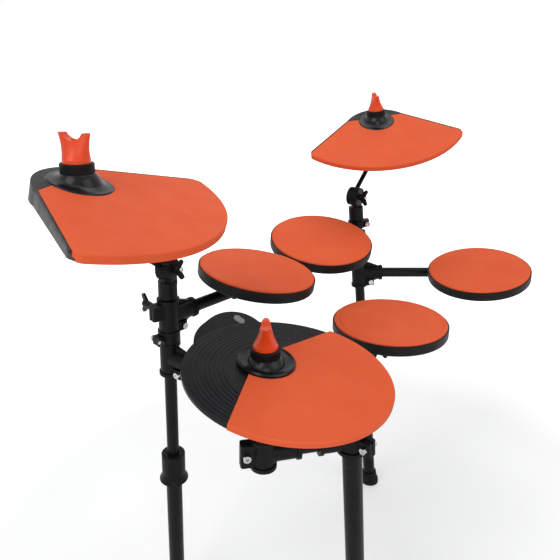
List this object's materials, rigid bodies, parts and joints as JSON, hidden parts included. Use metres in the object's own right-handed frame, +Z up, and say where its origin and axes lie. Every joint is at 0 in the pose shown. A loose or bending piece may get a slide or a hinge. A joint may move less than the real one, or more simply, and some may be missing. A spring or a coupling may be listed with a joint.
{
  "type": "electronic drum kit",
  "caption": "Electronic drum kit: rubber-faced round pads, fan-shaped cymbal pads, an off-centre round hi-hat pad and a sound module on a folding rack of tubes.",
  "frame": {"origin": "on the floor, under the middle of the bounding box", "axes": "+Z up from the floor, +Y away from the viewer of the picture, +X to the right"},
  "size_m": [0.8238, 0.9102, 1.0189],
  "materials": {
    "black_tube": "satin black powder coat",
    "black_casting": "satin black moulding",
    "bright_steel": "bright plated steel",
    "black_rubber": "matt",
    "black_plastic": "fine matt",
    "orange_rubber": "matt silicone rubber",
    "glossy_black": "glossy",
    "orange_plastic": "glossy",
    "brass_plate": "plain",
    "module_black": "fine matt",
    "module_face": "fine matt",
    "circuit_green": "plain",
    "key_grey": "satin",
    "knob_black": "satin"
  },
  "bodies": {
    "rack": {"left_post_tube": "black_tube", "right_post_tube": "black_tube", "front_post_tube": "black_tube", "front_foot": "black_rubber", "rear_bar": "black_tube", "front_bar": "black_tube", "right_arm": "black_tube", "hihat_arm": "black_tube", "snare_arm": "black_tube", "rack_clamps": "black_casting", "clamp_bolts": "bright_steel", "saddle_brackets": "black_casting", "tube_caps": "black_plastic", "hihat_rod": "bright_steel"},
    "left_leg": {"left_leg_tube": "black_tube", "left_height_collar": "black_casting", "left_foot": "black_rubber"},
    "right_leg": {"right_leg_tube": "black_tube", "right_height_collar": "black_casting", "right_foot": "black_rubber"},
    "hihat_cymbal": {"hihat_plate": "black_plastic", "hihat_rubber": "orange_rubber", "hihat_bell": "glossy_black", "hihat_sensor": "brass_plate"},
    "hihat_nut_body": {"hihat_nut": "orange_plastic"},
    "module": {"module_case": "module_black", "module_panel": "module_face", "module_board": "circuit_green"},
    "module_button_key": {"module_button": "key_grey"},
    "module_volume": {"module_knob": "knob_black"},
    "rear_clamp_wing_bolt": {"rear_clamp_wing": "bright_steel"},
    "snare_wing_bolt": {"snare_wing": "bright_steel"},
    "crash_boom_arm": {"crash_boom": "black_casting"},
    "crash_tilter_wing_bolt": {"crash_tilter_wing": "bright_steel"},
    "crash_stud_head": {"crash_stud": "bright_steel"},
    "crash_cymbal": {"crash_base": "black_plastic", "crash_rubber": "orange_rubber", "crash_bell": "glossy_black", "crash_sensor": "brass_plate"},
    "crash_nut_body": {"crash_nut": "orange_plastic"},
    "ride_boom_arm": {"ride_boom": "black_casting"},
    "ride_tilter_wing_bolt": {"ride_tilter_wing": "bright_steel"},
    "ride_stud_head": {"ride_stud": "bright_steel"},
    "ride_cymbal": {"ride_base": "black_plastic", "ride_rubber": "orange_rubber", "ride_bell": "glossy_black", "ride_sensor": "brass_plate"},
    "ride_nut_body": {"ride_nut": "orange_plastic"},
    "tom_1_pad": {"tom_1_shell": "black_plastic", "tom_1_head": "orange_rubber", "tom_1_sensor": "brass_plate"},
    "tom_2_pad": {"tom_2_shell": "black_plastic", "tom_2_head": "orange_rubber", "tom_2_sensor": "brass_plate"},
    "tom_3_pad": {"tom_3_shell": "black_plastic", "tom_3_head": "orange_rubber", "tom_3_sensor": "brass_plate"},
    "snare_pad": {"snare_shell": "black_plastic", "snare_head": "orange_rubber", "snare_sensor": "brass_plate"}
  },
  "joints": [
    {"name": "left_leg_height", "type": "slide", "parent": "rack", "child": "left_leg", "axis": [-0.045, 0, -0.999], "range_m": [-0.04, 0.06]},
    {"name": "right_leg_height", "type": "slide", "parent": "rack", "child": "right_leg", "axis": [0.0995, 0, -0.995], "range_m": [-0.04, 0.06]},
    {"name": "crash_boom_tilt", "type": "hinge", "parent": "rack", "child": "crash_boom_arm", "pos_m": [-0.30638, -0.06663, 0.77], "axis": [0.9591, -0.2832, 0], "range_deg": [-15, 15]},
    {"name": "crash_tilter_wing_turn", "type": "hinge", "parent": "rack", "child": "crash_tilter_wing_bolt", "pos_m": [-0.30638, -0.06663, 0.77], "axis": [0.9591, -0.2832, 0], "continuous": true},
    {"name": "crash_stud_tilt", "type": "hinge", "parent": "crash_boom_arm", "child": "crash_stud_head", "pos_m": [-0.3665, -0.27224, 0.91502], "axis": [0.9637, -0.266, -0.0234], "range_deg": [-12, 12]},
    {"name": "crash_rock", "type": "hinge", "parent": "crash_stud_head", "child": "crash_cymbal", "pos_m": [-0.3589, -0.27303, 0.95283], "axis": [0.1958, 0.9801, -0.0314], "range_deg": [-18, 3]},
    {"name": "crash_nut_turn", "type": "hinge", "parent": "crash_stud_head", "child": "crash_nut_body", "pos_m": [-0.3589, -0.27303, 0.95283], "axis": [0.0314, 0.0258, 0.9992], "continuous": true},
    {"name": "ride_boom_tilt", "type": "hinge", "parent": "rack", "child": "ride_boom_arm", "pos_m": [0.04447, 0.29436, 0.795], "axis": [0.8113, -0.5846, 0], "range_deg": [-15, 15]},
    {"name": "ride_tilter_wing_turn", "type": "hinge", "parent": "rack", "child": "ride_tilter_wing_bolt", "pos_m": [0.04447, 0.29436, 0.795], "axis": [0.8113, -0.5846, 0], "continuous": true},
    {"name": "ride_stud_tilt", "type": "hinge", "parent": "ride_boom_arm", "child": "ride_stud_head", "pos_m": [0.1085, 0.4049, 0.89855], "axis": [-0.8764, 0.4802, -0.0349], "range_deg": [-12, 12]},
    {"name": "ride_rock", "type": "hinge", "parent": "ride_stud_head", "child": "ride_cymbal", "pos_m": [0.09823, 0.4027, 0.93567], "axis": [0.9864, 0.0985, 0.1315], "range_deg": [-18, 3]},
    {"name": "ride_nut_turn", "type": "hinge", "parent": "ride_stud_head", "child": "ride_nut_body", "pos_m": [0.09823, 0.4027, 0.93567], "axis": [-0.1169, -0.1419, 0.983], "continuous": true},
    {"name": "hihat_rock", "type": "hinge", "parent": "rack", "child": "hihat_cymbal", "pos_m": [-0.14071, -0.28461, 0.71211], "axis": [0.4796, 0.876, -0.0515], "range_deg": [-12, 8]},
    {"name": "hihat_nut_turn", "type": "hinge", "parent": "rack", "child": "hihat_nut_body", "pos_m": [-0.14071, -0.28461, 0.71211], "axis": [0.0253, 0.0449, 0.9987], "continuous": true},
    {"name": "tom_1_tilt", "type": "hinge", "parent": "rack", "child": "tom_1_pad", "pos_m": [-0.19539, 0.04671, 0.71058], "axis": [0.7119, 0.7023, 0], "range_deg": [-12, 12]},
    {"name": "tom_2_tilt", "type": "hinge", "parent": "rack", "child": "tom_2_pad", "pos_m": [-0.04428, 0.19577, 0.70489], "axis": [0.7119, 0.7023, 0], "range_deg": [-12, 12]},
    {"name": "tom_3_tilt", "type": "hinge", "parent": "rack", "child": "tom_3_pad", "pos_m": [0.30497, 0.29436, 0.63674], "axis": [1, 0, 0], "range_deg": [-12, 12]},
    {"name": "snare_tilt", "type": "hinge", "parent": "rack", "child": "snare_pad", "pos_m": [0.04797, 0.00336, 0.60679], "axis": [0.2368, 0.9715, 0], "range_deg": [-12, 12]},
    {"name": "module_tilt", "type": "hinge", "parent": "rack", "child": "module", "pos_m": [-0.15816, -0.16987, 0.66075], "axis": [-0.9138, -0.4061, 0], "range_deg": [-6, 10]},
    {"name": "module_button_press", "type": "slide", "parent": "module", "child": "module_button_key", "axis": [-0.16, 0.36, -0.9191], "range_m": [0, 0.001], "stiffness_N_per_m": 1200},
    {"name": "module_knob_turn", "type": "hinge", "parent": "module", "child": "module_volume", "pos_m": [-0.14338, -0.22466, 0.67751], "axis": [-0.16, 0.36, -0.9191], "range_deg": [-150, 150]},
    {"name": "rear_clamp_wing_turn", "type": "hinge", "parent": "rack", "child": "rear_clamp_wing_bolt", "pos_m": [-0.33405, -0.07793, 0.70409], "axis": [-0.7019, 0.7116, 0.0316], "continuous": true},
    {"name": "snare_wing_turn", "type": "hinge", "parent": "rack", "child": "snare_wing_bolt", "pos_m": [0.06332, -0.00038, 0.58], "axis": [0.9715, -0.2368, 0], "continuous": true}
  ]
}
